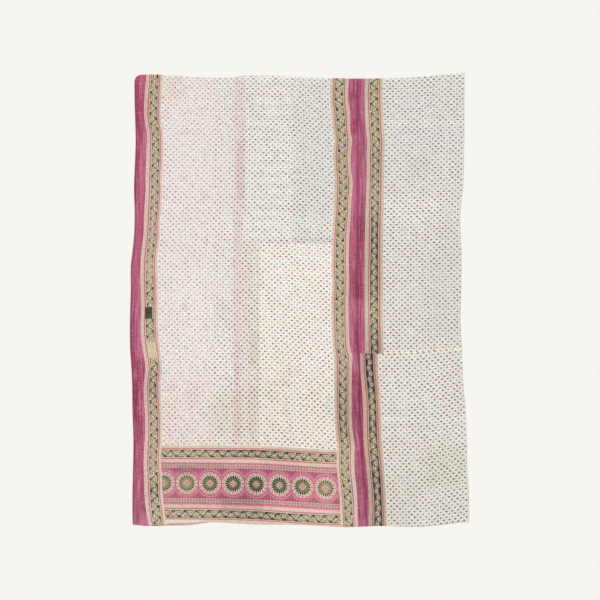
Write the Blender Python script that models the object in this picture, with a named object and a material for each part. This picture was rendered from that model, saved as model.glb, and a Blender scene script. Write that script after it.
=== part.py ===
"""Kantha quilt, laid out flat: three full-thickness cloth panels sewn edge to edge, and a small sewn-on tab.

Metres, +Z up. The origin is on the surface that the quilt lies on, under the middle of it. +Y runs up the
quilt to the end without the medallion band, and +X to the side panels.
"""

import math
from collections import namedtuple

import bmesh
import bpy

MM = 0.001

# The quilt's thickness: a few layers of worn cotton, with low ridges between the lengthwise stitch rows
THICKNESS = 2.2 * MM
STITCH_ROW_PITCH = 12 * MM
RIDGE = 0.6 * MM
RIDGE_WAVE = 230 * MM
SEAM_RISE = 0.7 * MM
SEAM_REACH = 9 * MM
EDGE_DROP = 0.5 * MM
EDGE_REACH = 10 * MM
GAP = 0.3 * MM

# The panels' rows of points: how many spans above and below the cross seam, and how far down the first two
# rows are, for the rounded corner. The underside's coarse grid is set in by this share of the panel
SPANS_ABOVE, SPANS_BELOW = 12, 8
CORNER_ROWS = (12 * MM, 32 * MM)
UNDERSIDE_INSET = 0.06

# How far the top of the outline is above the quilt's middle, so that "down" can count from it
HALF_LENGTH = 1112 * MM
CORNER_RADIUS = 30 * MM

# The small tab: a folded strip, its under leaf a little wider than its upper one
TAB_WIDTH = 41 * MM
TAB_UPPER_WIDTH = 34 * MM
TAB_LENGTH = 56 * MM
TAB_LEAF = 0.5 * MM
TAB_X = -736 * MM
TAB_Y = -63 * MM

# Millimetres down the quilt from the top of its outline, and across it from its middle: the left edge, the
# long seam and the right edge, which all wander as the cloth was sewn and laid
Side = namedtuple("Side", "down left seam right")
SIDES = [
    Side(15, -808, 282, 807),
    Side(152, -807, 283, 806),
    Side(328, -802, 285, 806),
    Side(505, -808, 285, 803),
    Side(573, -810, 285, 799),
    Side(681, -807, 284, 787),
    Side(779, -809, 282, 787),
    Side(877, -818, 282, 793),
    Side(946, -826, 282, 793),
    Side(1063, -826, 282, 791),
    Side(1210, -830, 282, 787),
    Side(1348, -829, 285, 794),
    Side(1426, -824, 291, 797),
    Side(1524, -819, 294, 801),
    Side(1642, -818, 297, 812),
    Side(1798, -813, 302, 818),
    Side(1945, -815, 314, 821),
    Side(2073, -818, 322, 829),
    Side(2210, -817, 328, 830),
]

# Millimetres across from the middle, and down from the top of the outline
Across = namedtuple("Across", "across down")
TOP_EDGE = [
    Across(-811, 11),
    Across(-742, 8),
    Across(-644, 10),
    Across(-527, 14),
    Across(-380, 20),
    Across(-213, 10),
    Across(-17, 19),
    Across(71, 23),
    Across(257, 28),
    Across(414, 27),
    Across(502, 23),
    Across(649, 11),
    Across(737, 4),
    Across(806, 0),
]
FOOT_EDGE = [
    Across(-821, 2211),
    Across(-742, 2218),
    Across(-625, 2216),
    Across(-527, 2213),
    Across(-429, 2200),
    Across(-321, 2205),
    Across(-213, 2211),
    Across(2, 2212),
    Across(110, 2218),
    Across(228, 2224),
    Across(394, 2218),
    Across(581, 2223),
    Across(669, 2216),
    Across(757, 2205),
    Across(831, 2200),
]
CROSS_SEAM = [
    Across(285, 1374),
    Across(414, 1374),
    Across(551, 1369),
    Across(688, 1359),
    Across(796, 1350),
]

# Long, shallow rumples in the laid cloth: how high, how long across and down, and where each wave starts
Rumple = namedtuple("Rumple", "height across down start")
RUMPLES = [
    Rumple(0.25 * MM, 0.61, 1.30, 0.4),
    Rumple(0.20 * MM, 0.37, 0.52, 2.1),
    Rumple(0.12 * MM, 0.19, 0.83, 4.4),
]

Panel = namedtuple("Panel", "name left right top foot seams ridges levels colour")


def curve(table, key, value, at):
    """A column of a table, read between its rows by a smooth curve through them."""
    places = [getattr(row, key) for row in table]
    values = [getattr(row, value) for row in table]
    last = len(places) - 1

    def slope(i):
        before, after = max(i - 1, 0), min(i + 1, last)
        return (values[after] - values[before]) / (places[after] - places[before])

    at = min(max(at, places[0]), places[last])
    i = max(k for k in range(last) if places[k] <= at)
    span = places[i + 1] - places[i]
    t = (at - places[i]) / span
    rise = (values[i + 1] - values[i]) * t * t * (3 - 2 * t)
    return values[i] + rise + span * (slope(i) * t * (1 - t) ** 2 - slope(i + 1) * t * t * (1 - t))


def side_line(column, shift=0.0):
    """A line down the quilt, as the distance across at a given y."""
    return lambda y: curve(SIDES, "down", column, (HALF_LENGTH - y) / MM) * MM + shift


def cross_line(table, shift=0.0):
    """A line across the quilt, as its y at a given x."""
    return lambda x: HALF_LENGTH - curve(table, "across", "down", x / MM) * MM + shift


def mix(a, b, t):
    return a + (b - a) * t


def place(panel, u, v):
    """Where a point lies that is the share u across the panel and v down it."""
    x, y = 0.0, 0.0
    for _ in range(5):
        y = mix(panel.top(x), panel.foot(x), v)
        x = mix(panel.left(y), panel.right(y), u)
    return x, y


def rounded_corner(x, y, left, top):
    """The top left corner's points, drawn in from the square corner to a quarter circle."""
    out = (left + CORNER_RADIUS) - x
    up = y - (top - CORNER_RADIUS)
    if out <= 0 or up <= 0:
        return x, y
    share = max(out, up) / math.hypot(out, up)
    return x + out * (1 - share), y - up * (1 - share)


def near(distance, reach):
    """1 at an edge, falling smoothly to 0 at the given reach from it."""
    t = min(max(1 - distance / reach, 0), 1)
    return t * t * (3 - 2 * t)


def surface_height(panel, u, x, y):
    """The height of a panel's face: ridges between stitch rows, rumples, raised seams, thin outer edges."""
    phase = 2 * math.pi * u * panel.ridges
    uneven = 0.8 + 0.2 * math.sin(y / RIDGE_WAVE + 7 * u)
    height = THICKNESS + RIDGE * uneven * (1 - math.cos(phase)) / 2
    for rumple in RUMPLES:
        wave = math.sin(2 * math.pi * (x / rumple.across + y / rumple.down) + rumple.start)
        height += rumple.height * wave
    edges = {
        "left": x - panel.left(y),
        "right": panel.right(y) - x,
        "top": panel.top(x) - y,
        "foot": y - panel.foot(x),
    }
    for side, distance in edges.items():
        if side in panel.seams:
            height += SEAM_RISE * near(distance, SEAM_REACH)
        else:
            height -= EDGE_DROP * near(distance, EDGE_REACH)
    return height


def stitch_rows(width):
    """How many intervals between stitch rows fit across a width."""
    return round(width / STITCH_ROW_PITCH)


def even_levels(start, end, spans):
    """The y of each row of points from one end of a panel to the other, along the long seam."""
    return [mix(start, end, step / spans) for step in range(spans + 1)]


def cloth_material(name, colour):
    material = bpy.data.materials.new(name)
    material.use_nodes = True
    shader = material.node_tree.nodes["Principled BSDF"]
    shader.inputs["Base Color"].default_value = (*colour, 1)
    shader.inputs["Roughness"].default_value = 0.9
    shader.inputs["Metallic"].default_value = 0.0
    return material


def add_object(name, bm, colour, collection):
    """The finished body as an object of the quilt's collection, with its own material."""
    bmesh.ops.recalc_face_normals(bm, faces=bm.faces)
    mesh = bpy.data.meshes.new(name)
    bm.to_mesh(mesh)
    bm.free()
    thing = bpy.data.objects.new(name, mesh)
    mesh.materials.append(cloth_material(name + "_cloth", colour))
    collection.objects.link(thing)
    return thing


def make_panel(panel, collection):
    """A panel: a fine grid shaped as its face, walls down to the surface, and a coarse flat underside."""
    bm = bmesh.new()
    columns, rows = 2 * panel.ridges, len(panel.levels) - 1
    whole = panel.levels[0] - panel.levels[-1]
    fine = bmesh.ops.create_grid(bm, x_segments=columns, y_segments=rows, size=0.5)
    for vert in fine["verts"]:
        row = round((0.5 - vert.co.y) * rows)
        u, v = vert.co.x + 0.5, (panel.levels[0] - panel.levels[row]) / whole
        x, y = place(panel, u, v)
        height = surface_height(panel, u, x, y)
        if panel.name == "main_panel":
            x, y = rounded_corner(x, y, panel.left(y), panel.top(x))
        vert.co = (x, y, height)
    rim = [edge for edge in bm.edges if edge.is_boundary]
    walls = bmesh.ops.extrude_edge_only(bm, edges=rim)["geom"]
    for part in walls:
        if isinstance(part, bmesh.types.BMVert):
            part.co.z = 0
    lower_rim = [part for part in walls if isinstance(part, bmesh.types.BMEdge) and part.is_boundary]
    coarse = bmesh.ops.create_grid(bm, x_segments=columns // 8, y_segments=rows // 2, size=0.5)
    reach = 1 - 2 * UNDERSIDE_INSET
    for vert in coarse["verts"]:
        x, y = place(panel, 0.5 + vert.co.x * reach, 0.5 - vert.co.y * reach)
        vert.co = (x, y, 0)
    inner_rim = {edge for vert in coarse["verts"] for edge in vert.link_edges if edge.is_boundary}
    bmesh.ops.bridge_loops(bm, edges=lower_rim + list(inner_rim))
    return add_object(panel.name, bm, panel.colour, collection)


def make_tab(main, collection):
    """The folded tab: two leaves as one stepped strip, lying just clear of the highest ridge below it."""
    width, upper, leaf = TAB_WIDTH, TAB_UPPER_WIDTH, TAB_LEAF
    profile = [(0, 0), (width, 0), (width, leaf), (upper, leaf), (upper, 2 * leaf), (0, 2 * leaf)]
    left = TAB_X - width / 2
    lowest = TAB_Y - TAB_LENGTH / 2
    highest_ridge = 0.0
    for step in range(0, 41):
        x = left + width * step / 40
        for y in (lowest, TAB_Y, lowest + TAB_LENGTH):
            u = (x - main.left(y)) / (main.right(y) - main.left(y))
            highest_ridge = max(highest_ridge, surface_height(main, u, x, y))
    bm = bmesh.new()
    verts = [bm.verts.new((left + across, lowest, highest_ridge + GAP + up)) for across, up in profile]
    end = bm.faces.new(verts)
    swept = bmesh.ops.extrude_face_region(bm, geom=[end])["geom"]
    moved = [part for part in swept if isinstance(part, bmesh.types.BMVert)]
    bmesh.ops.translate(bm, verts=moved, vec=(0, TAB_LENGTH, 0))
    return add_object("label", bm, (0.045, 0.032, 0.022), collection)


def main():
    for thing in list(bpy.data.objects):
        bpy.data.objects.remove(thing)
    collection = bpy.data.collections.new("kantha_quilt")
    bpy.context.scene.collection.children.link(collection)

    half = GAP / 2
    left, seam, right = side_line("left"), side_line("seam", -half), side_line("right")
    beyond_seam = side_line("seam", half)
    top, foot = cross_line(TOP_EDGE), cross_line(FOOT_EDGE)
    over, under = cross_line(CROSS_SEAM, half), cross_line(CROSS_SEAM, -half)

    head, joint = SIDES[0], CROSS_SEAM[0].across * MM
    wide = stitch_rows((head.seam - head.left) * MM)
    narrow = stitch_rows((head.right - head.seam) * MM)
    above = even_levels(top(joint), cross_line(CROSS_SEAM)(joint), SPANS_ABOVE)
    above[1:1] = [above[0] - depth for depth in CORNER_ROWS]
    below = even_levels(cross_line(CROSS_SEAM)(joint), foot(joint), SPANS_BELOW)
    main_edges = (left, seam, top, foot)
    upper_edges = (beyond_seam, right, top, over)
    lower_edges = (beyond_seam, right, under, foot)
    panels = [
        Panel("main_panel", *main_edges, ("right",), wide, above + below[1:], (0.80, 0.72, 0.66)),
        Panel("upper_side_panel", *upper_edges, ("left", "foot"), narrow, above, (0.76, 0.76, 0.72)),
        Panel("lower_side_panel", *lower_edges, ("left",), narrow, below, (0.78, 0.77, 0.71)),
    ]
    for panel in panels:
        make_panel(panel, collection)
    make_tab(panels[0], collection)


main()
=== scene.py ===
"""Kantha quilt, laid out flat: how it looks. Metres, +Z up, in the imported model's frame."""

import math
from collections import namedtuple
from functools import partialmethod

import bpy
import numpy as np
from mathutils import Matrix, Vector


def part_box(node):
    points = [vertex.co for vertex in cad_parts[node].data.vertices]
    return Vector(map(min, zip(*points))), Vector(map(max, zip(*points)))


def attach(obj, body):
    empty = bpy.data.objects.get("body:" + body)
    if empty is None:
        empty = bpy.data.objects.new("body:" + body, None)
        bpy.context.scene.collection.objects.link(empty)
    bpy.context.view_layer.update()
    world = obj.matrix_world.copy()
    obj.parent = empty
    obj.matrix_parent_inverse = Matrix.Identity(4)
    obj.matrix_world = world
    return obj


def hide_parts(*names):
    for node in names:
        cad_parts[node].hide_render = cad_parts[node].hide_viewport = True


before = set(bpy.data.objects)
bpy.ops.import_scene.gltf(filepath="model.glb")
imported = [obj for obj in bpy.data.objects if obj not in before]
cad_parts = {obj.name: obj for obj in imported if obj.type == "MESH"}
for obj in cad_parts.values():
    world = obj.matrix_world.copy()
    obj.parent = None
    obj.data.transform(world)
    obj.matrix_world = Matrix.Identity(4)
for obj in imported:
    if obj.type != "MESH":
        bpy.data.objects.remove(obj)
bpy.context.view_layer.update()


# ---- The room -------------------------------------------------------------------------------------------
# A matt, pale sheet of paper for a floor, a camera straight above it, and the soft light of a white room
# with one wide lamp high up at the head of the quilt, to the left.

CAMERA_HEIGHT = 6.0
VIEW_WIDTH = 2.94
VIEW_MIDDLE = 0.00245
WALL_COLOUR, WALL_LIGHT = (1.0, 0.995, 0.985, 1), 0.64
LAMP_FROM = (-0.62, 0.55, 0.75)
LAMP_COLOUR, LAMP_LIGHT, LAMP_SPREAD = (1.0, 0.99, 0.97), 1.70, math.radians(24)
PAPER_REACH = 60
# The places of a colour mixing node's sockets: its share, the two colours, and what comes out
MIX_INPUTS, MIX_RESULT = (0, 6, 7), 2

scene = bpy.context.scene
scene.view_settings.view_transform = "Standard"
scene.view_settings.look = "None"


def tone(red, green, blue):
    """A colour as it is seen, each part from 0 to 255, as the linear one that Blender works with."""
    parts = np.array((red, green, blue), float) / 255
    linear = np.where(parts > 0.04045, ((parts + 0.055) / 1.055) ** 2.4, parts / 12.92)
    return (*[float(part) for part in linear], 1.0)


class Recipe:
    """A material in the making: its nodes, and its colour as one ink is laid over another."""

    def __init__(self, name, roughness):
        self.material = bpy.data.materials.new(name)
        self.material.use_nodes = True
        self.tree = self.material.node_tree
        self.shader = self.tree.nodes["Principled BSDF"].inputs
        self.shader["Roughness"].default_value = roughness
        self.shader["Specular IOR Level"].default_value = 0.2
        self.colour = None

    def add(self, kind, **settings):
        node = self.tree.nodes.new("ShaderNode" + kind)
        for name, value in settings.items():
            setattr(node, name, value)
        return node

    def feed(self, value, socket):
        """A measure, another socket or a plain value into a node's socket."""
        value = getattr(value, "socket", value)
        if isinstance(value, bpy.types.NodeSocket):
            self.tree.links.new(value, socket)
        else:
            socket.default_value = value

    def mixed(self, below, ink, share=1.0, how="MIX"):
        """Ink over a colour, as strongly as share."""
        node = self.add("Mix", data_type="RGBA", blend_type=how)
        for place, value in zip(MIX_INPUTS, (share, below, ink)):
            self.feed(value, node.inputs[place])
        return node.outputs[MIX_RESULT]

    def lay(self, ink, share):
        """Lays ink over the colour."""
        self.colour = self.mixed(self.colour, ink, share)

    def finish(self):
        """The material, once its colour is laid."""
        self.feed(self.colour, self.shader["Base Color"])
        return self.material


def make_piece(name, points, faces, material):
    """A smooth mesh object of these points and faces, in its material."""
    mesh = bpy.data.meshes.new(name)
    mesh.from_pydata(np.array(points, float).tolist(), [], faces)
    mesh.shade_smooth()
    mesh.materials.append(material)
    piece = bpy.data.objects.new(name, mesh)
    scene.collection.objects.link(piece)
    return piece


lens = bpy.data.cameras.new("overhead_camera")
lens.sensor_width = 36
lens.lens = lens.sensor_width * CAMERA_HEIGHT / VIEW_WIDTH
camera = bpy.data.objects.new("overhead_camera", lens)
camera.location = (VIEW_MIDDLE, 0, CAMERA_HEIGHT)
scene.collection.objects.link(camera)
scene.camera = camera

room = bpy.data.worlds.new("white_room")
room.use_nodes = True
walls = room.node_tree.nodes["Background"].inputs
walls["Color"].default_value = WALL_COLOUR
walls["Strength"].default_value = WALL_LIGHT
scene.world = room

lamp = bpy.data.lights.new("wide_lamp", "SUN")
lamp.energy = LAMP_LIGHT
lamp.angle = LAMP_SPREAD
lamp.color = LAMP_COLOUR
lamp_stand = bpy.data.objects.new("wide_lamp", lamp)
aim = np.array(LAMP_FROM) / np.linalg.norm(LAMP_FROM)
lamp_stand.rotation_euler = (math.acos(aim[2]), 0, math.atan2(aim[1], aim[0]) + math.pi / 2)
lamp_stand.location = (-3, 3, 4)
scene.collection.objects.link(lamp_stand)

paper = Recipe("pale_paper", 0.9)
fibre = paper.add("TexNoise")
fibre.inputs["Scale"].default_value = 900
paper.colour = tone(246, 245, 241)
paper.lay(tone(247, 246, 242), fibre.outputs["Fac"])
paper_corners = [(x * PAPER_REACH, y * PAPER_REACH, 0) for x, y in ((-1, -1), (1, -1), (1, 1), (-1, 1))]
floor = make_piece("paper_floor", paper_corners, [(0, 1, 2, 3)], paper.finish())


# ---- The main panel's face --------------------------------------------------------------------------------
# One length of worn sari cotton, block printed with buds, a border down each side and a band of wheels at the
# foot. It is laid over older cloth and quilted to it by running stitches 12 mm apart, down the whole length.

MM = 0.001
MM_PER_METRE = 1000
HALF_LENGTH = 1112 * MM
CORNER_RADIUS = 30 * MM
THICKNESS = 2.2 * MM
ROW_PITCH = 12 * MM
STITCH_PITCH = 10 * MM
RIDGE = 0.6 * MM
RIDGE_WAVE = 230 * MM
PUCKER = 0.22 * MM
PUCKER_LENGTH = (22 * MM, 46 * MM)
SEAM_RISE, SEAM_REACH = 0.7 * MM, 9 * MM
EDGE_DROP, EDGE_REACH = 0.5 * MM, 10 * MM
RIM_ROLL = 0.6 * MM
SEAM_LAP = 0.25 * MM
# How low a face's rim is turned at a seam and at an outer edge, and how far its first row stays up, as shares
SEAM_LOW, EDGE_LOW, FIRST_ROW = 0.5, 0.15, 0.6


def table(kind, *rows):
    """A short table: rows of one kind, whose columns are named."""
    return [kind(*row) for row in rows]


# Millimetres down the quilt from the top of its outline, and across it from its middle
Side = namedtuple("Side", "down left seam right")
SIDES = table(
    Side,
    (15, -808, 282, 807), (152, -807, 283, 806), (328, -802, 285, 806), (505, -808, 285, 803),
    (573, -810, 285, 799), (681, -807, 284, 787), (779, -809, 282, 787), (877, -818, 282, 793),
    (946, -826, 282, 793), (1063, -826, 282, 791), (1210, -830, 282, 787), (1348, -829, 285, 794),
    (1426, -824, 291, 797), (1524, -819, 294, 801), (1642, -818, 297, 812), (1798, -813, 302, 818),
    (1945, -815, 314, 821), (2073, -818, 322, 829), (2210, -817, 328, 830),
)
Across = namedtuple("Across", "across down")
TOP_EDGE = table(
    Across,
    (-811, 11), (-742, 8), (-644, 10), (-527, 14), (-380, 20), (-213, 10), (-17, 19), (71, 23), (257, 28),
    (414, 27), (502, 23), (649, 11), (737, 4), (806, 0),
)
FOOT_EDGE = table(
    Across,
    (-821, 2211), (-742, 2218), (-625, 2216), (-527, 2213), (-429, 2200), (-321, 2205), (-213, 2211),
    (2, 2212), (110, 2218), (228, 2224), (394, 2218), (581, 2223), (669, 2216), (757, 2205), (831, 2200),
)
Rumple = namedtuple("Rumple", "height across down start")
RUMPLES = table(
    Rumple,
    (0.25 * MM, 0.61, 1.3, 0.4), (0.20 * MM, 0.37, 0.52, 2.1), (0.12 * MM, 0.19, 0.83, 4.4),
)
# Where the printed lines of a border run: the edge of its magenta, the flowers' ground, and the field
Border = namedtuple("Border", "down magenta flowers leaves field")
LEFT_BORDER = table(
    Border,
    (10, -750, -727, -690, -669), (179, -762, -734, -698, -680), (237, -758, -733, -696, -678),
    (296, -748, -723, -688, -669), (443, -751, -724, -687, -668), (502, -754, -726, -692, -673),
    (561, -754, -726, -690, -672), (678, -760, -731, -695, -678), (737, -762, -734, -703, -684),
    (796, -765, -738, -704, -683), (914, -778, -750, -716, -696), (1031, -779, -752, -714, -695),
    (1149, -775, -748, -714, -693), (1237, -778, -752, -713, -692), (1325, -772, -747, -707, -686),
    (1443, -755, -729, -693, -674), (1531, -763, -736, -701, -681), (1737, -756, -731, -692, -673),
    (1913, -764, -736, -697, -679), (1972, -761, -734, -693, -674), (2060, -759, -731, -691, -671),
    (2148, -750, -724, -681, -661), (2210, -738, -714, -672, -654),
)
SEAM_BORDER = table(
    Border,
    (29, 242, 216, 176, 155), (130, 238, 213, 171, 151), (188, 247, 219, 179, 157),
    (277, 249, 224, 185, 164), (335, 258, 229, 192, 171), (394, 251, 225, 187, 165),
    (482, 253, 229, 191, 169), (541, 261, 234, 195, 172), (629, 254, 230, 191, 169),
    (688, 251, 229, 188, 168), (806, 243, 219, 180, 161), (953, 241, 217, 177, 157),
    (1041, 242, 217, 181, 161), (1129, 240, 215, 176, 156), (1335, 246, 219, 184, 163),
    (1394, 259, 231, 192, 170), (1423, 257, 231, 192, 171), (1658, 255, 230, 193, 172),
    (1747, 260, 233, 197, 177), (1835, 271, 242, 205, 185), (1864, 268, 241, 202, 182),
    (1952, 270, 243, 204, 184), (2070, 282, 254, 216, 196), (2210, 285, 262, 223, 202),
)
# The same four lines on a border with no stretch in it, in millimetres from the edge of the magenta
EVEN_BORDER = (0, 26, 64, 84)
# How worn a border is at places down it: the tint of its cloth, and how much of its flowers' ink is left
Wear = namedtuple("Wear", "down red green blue ink")
LEFT_WEAR = table(
    Wear,
    (80, 249, 244, 245, 0.7), (180, 240, 230, 229, 0.78), (280, 246, 238, 238, 0.76),
    (380, 252, 249, 248, 0.74), (570, 253, 252, 250, 0.62), (670, 251, 247, 247, 0.6),
    (770, 251, 247, 248, 0.5), (870, 252, 249, 250, 0.6), (960, 252, 250, 251, 0.42),
    (1060, 245, 242, 243, 0.7), (1290, 252, 248, 250, 0.76), (1305, 254, 250, 251, 0.6),
    (1325, 254, 250, 249, 0.1), (1390, 254, 250, 249, 0.1), (1410, 250, 246, 248, 0.74),
    (1550, 240, 233, 235, 1.12), (1650, 248, 244, 242, 0.78), (1850, 254, 250, 252, 0.68),
    (1950, 252, 249, 250, 0.64), (2040, 251, 248, 249, 1.14), (2140, 256, 256, 258, 0.72),
)
SEAM_WEAR = table(
    Wear,
    (80, 238, 241, 235, 0.86), (330, 236, 236, 228, 0.82), (600, 241, 242, 234, 0.72),
    (770, 242, 243, 234, 0.76), (870, 250, 250, 240, 0.7), (1060, 240, 240, 229, 0.79),
    (1160, 243, 246, 236, 0.68), (1270, 246, 248, 238, 0.5), (1370, 244, 245, 236, 0.57),
    (1450, 237, 237, 227, 0.9), (1550, 228, 225, 214, 1.08), (1770, 230, 229, 219, 1.12),
    (1850, 252, 255, 248, 0.78), (1940, 254, 258, 258, 0.64), (2040, 244, 248, 246, 0.92),
    (2140, 252, 256, 252, 0.74),
)
# The band at the foot: where its upper flowers start, its pink ground starts and ends, and its lower flowers
# start, in millimetres down the quilt, at some places across it
BandLine = namedtuple("BandLine", "across flowers ground end lower")
BAND_LINES = table(
    BandLine,
    (-659, 1845, 1903, 2113, 2140), (-436, 1846, 1905, 2115, 2141), (-218, 1846, 1907, 2121, 2147),
    (-123, 1851, 1912, 2125, 2153), (-5, 1859, 1920, 2132, 2160), (113, 1866, 1927, 2140, 2166),
    (152, 1867, 1928, 2143, 2167),
)
# The same lines on an even band, from the top of the flowers
EVEN_BAND = (0, 61, 270, 296)
WHEELS_START, WHEEL_PITCH = -665, 113.3
# The roses above and below the wheels: where they start across the quilt, their pitch and the first's count
FootRoses = namedtuple("FootRoses", "start pitch first")
UPPER_FOOT_ROSES, LOWER_FOOT_ROSES = table(FootRoses, (-658, 28.28, 0), (-646, 28.5, 1))
# The tint of the foot band's cloth, and how much of its ink is left at places across it
BAND_TINT = (255, 251, 251)
Worn = namedtuple("Worn", "across ink")
BAND_WORN = table(
    Worn,
    (-660, 0.94), (-560, 0.9), (-450, 1.02), (-335, 1.12), (-220, 1.17), (-110, 1.12), (0, 1.03),
    (115, 0.88), (220, 0.93),
)
# The band's last stripe is bleached towards the left corner: from where in it, the place, and how far it
# reaches, in mm
BLEACHED_FROM, BLEACHED_TO, BLEACHED_OVER, BLEACHED = 71, -350, 260, (1.12, 1.22, 1.30)
# Where the band is darker or paler than the rest: from where to where across and down, how soft its edge is,
# and how light it is
Shade = namedtuple("Shade", "left right top foot soft light")
BAND_SHADES = table(
    Shade,
    (-600, -515, 1928, 1966, 26, 0.72), (-385, -180, 2072, 2140, 40, 0.8),
    (-300, -200, 1960, 2077, 60, 0.86), (-125, 165, 2077, 2230, 60, 1.11), (0, 190, 1905, 2077, 60, 1.06),
    (-365, -184, 1825, 1935, 50, 1.1), (-125, 110, 1825, 1905, 40, 0.92),
)
# Rows of buds: how many there are down to a place, and how many millimetres lower a row hangs at places
# across the cloth, at its head and, from some way down, at its foot
BudRow = namedtuple("BudRow", "down count")
MAIN_BUD_ROWS = table(
    BudRow,
    (-15, 12.22), (15, 13.45), (56, 15.13), (291, 24.62), (526, 33.84), (762, 42.9), (997, 51.94),
    (1232, 61.04), (1467, 69.91), (1703, 78.46), (1830, 83),
)
Droop = namedtuple("Droop", "across head foot")
MAIN_BUD_DROOP = table(
    Droop,
    (-670, -9, 2), (-560, -5, 1), (-399, 0, 0), (-243, 0, 0), (-164, 0, 2), (-86, 1, 4), (-7, 3, 10),
    (71, 9, 16), (174, 15, 25),
)
DROOP_OVER = 700
# How many columns of buds fill the main field, and how far their count is shifted
BUDS_ACROSS, BUD_SHIFT = 30.3, 0.35
# Roses along a border: how many there are down to a place, counted so that the even ones are nearer the field
Rose = namedtuple("Rose", "down count")
LEFT_ROSES = table(
    Rose,
    (19, 1), (274, 11), (531, 21), (792, 31), (1054, 41), (1318, 51), (1582, 61), (1856, 71), (2124, 81),
    (2231, 85),
)
SEAM_ROSES = table(
    Rose,
    (4, -2), (54, 0), (304, 10), (562, 20), (820, 30), (1080, 40), (1339, 50), (1607, 60), (1886, 70),
    (2159, 80), (2242, 83),
)
# Parts of the field where older cloth shows through or the print has faded: its edges in millimetres, how
# soft they are, the ground's colour there, and how much of the ink is left
Patch = namedtuple("Patch", "left right top foot soft red green blue ink")
MAIN_PATCHES = table(
    Patch,
    (-700, 210, 0, 2230, 5, 242, 237, 230, 1), (-700, -418, 0, 1840, 5, 244, 237, 235, 0.62),
    (-700, -560, 0, 140, 60, 241, 231, 227, 0.64), (-590, -430, 950, 1450, 160, 247, 241, 238, 0.62),
    (-700, -430, 1500, 1860, 140, 243, 231, 228, 0.66), (-418, -322, 0, 860, 5, 240, 238, 232, 0.77),
    (-418, -322, 830, 1130, 5, 241, 240, 237, 0.78), (-418, -322, 1130, 1860, 5, 239, 237, 231, 0.9),
    (-418, -330, 1230, 1510, 60, 244, 243, 239, 0.85), (-418, -262, 700, 800, 40, 246, 245, 239, 0.85),
    (-430, -330, 1600, 1760, 60, 234, 232, 222, 0.95), (-318, -268, 0, 620, 6, 238, 227, 227, 0.8),
    (-324, -279, 620, 870, 6, 239, 225, 226, 0.8), (-322, -288, 870, 1860, 6, 239, 223, 223, 0.9),
    (-322, -288, 870, 1330, 8, 240, 224, 225, 0.74), (-308, -270, 325, 620, 8, 233, 215, 217, 0.84),
    (-326, -280, 1560, 1790, 40, 234, 217, 214, 1), (-290, -262, 870, 1560, 6, 242, 232, 229, 0.95),
    (-250, -238, 860, 1860, 8, 234, 233, 224, 1), (-210, -196, 860, 1860, 8, 236, 233, 223, 1),
    (-245, -200, 1270, 1440, 40, 231, 226, 215, 1.05), (-245, -200, 1540, 1800, 60, 227, 221, 208, 1.1),
    (-262, -36, 0, 828, 4, 241, 242, 238, 0.95), (-36, 200, 0, 828, 4, 234, 237, 234, 0.97),
    (-262, -36, 700, 800, 40, 245, 246, 241, 0.97), (-36, 200, 700, 800, 40, 239, 241, 238, 0.97),
    (-36, 160, 812, 836, 6, 226, 224, 227, 1.05), (-262, -36, 812, 836, 6, 241, 241, 238, 1.05),
    (-196, 200, 836, 1860, 4, 251, 248, 243, 1), (-160, 240, 850, 1060, 60, 252, 250, 245, 0.88),
    (-190, -90, 1460, 1860, 120, 244, 241, 232, 1), (-82, -20, 1420, 1860, 80, 243, 239, 229, 1),
    (0, 200, 1480, 1860, 120, 248, 244, 234, 1), (128, 180, 1580, 1690, 16, 238, 238, 230, 1),
)
# How much of the field's ink is worn off an outer edge, and how far in
EDGE_WORN, EDGE_WORN_REACH = 0.7, 9 * MM
# Round spots of an older print under the left of the field, each row half a step along from the last
SPOT_COLUMN, SPOT_STEP, SPOT_FIRST, SPOTS_TO = 102, 212, (-663, 188), -425
SPOT_REACH, SPOT_TONE, SPOT_SHARE = 30, (222, 231, 224), 0.75
# Woven stripes of an older cloth under the middle of the field, down to where it ends
WOVEN_EVERY, WOVEN_FIRST, WOVEN_DEPTH = 54.95, 56, (0.046, 0.034, 0.026)
WOVEN_LEFT, WOVEN_RIGHT, WOVEN_DOWN_TO = -262, -30, 828
Dyed = namedtuple("Dyed", "down red green blue")
MAIN_MAGENTA = table(
    Dyed,
    (0, 178, 84, 114), (600, 182, 88, 119), (1112, 181, 88, 119), (1500, 174, 82, 112),
    (2224, 173, 90, 113),
)
# Dark, faded and greyed places in the magenta, between two distances from the panel's edge in millimetres
Stain = namedtuple("Stain", "start end top foot soft shade share")
DEEP, FADED, GREYED, STAIN_SOFT = (134, 38, 72), (198, 120, 148), (156, 90, 110), 9
LEFT_STAINS = table(
    Stain,
    (-5, 24, 30, 520, 40, DEEP, 0.55), (-5, 13, 220, 330, 40, DEEP, 0.3), (-5, 14, 510, 640, 30, DEEP, 0.5),
    (24, 40, 130, 330, 40, DEEP, 0.25), (-5, 14, 640, 1140, 60, GREYED, 0.5),
    (24, 48, 330, 640, 60, FADED, 0.35), (34, 60, 600, 960, 60, DEEP, 0.16),
    (-5, 22, 1110, 1400, 40, DEEP, 0.55), (36, 60, 1000, 1400, 60, FADED, 0.55),
    (-5, 32, 1400, 1720, 40, DEEP, 0.68), (8, 28, 1460, 1690, 40, DEEP, 0.45),
    (-5, 14, 1680, 1960, 40, DEEP, 0.35), (-5, 70, 2080, 2230, 120, GREYED, 0.45),
    (30, 90, 2160, 2230, 50, FADED, 0.7), (-5, 70, 2190, 2230, 20, FADED, 0.4),
)
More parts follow.
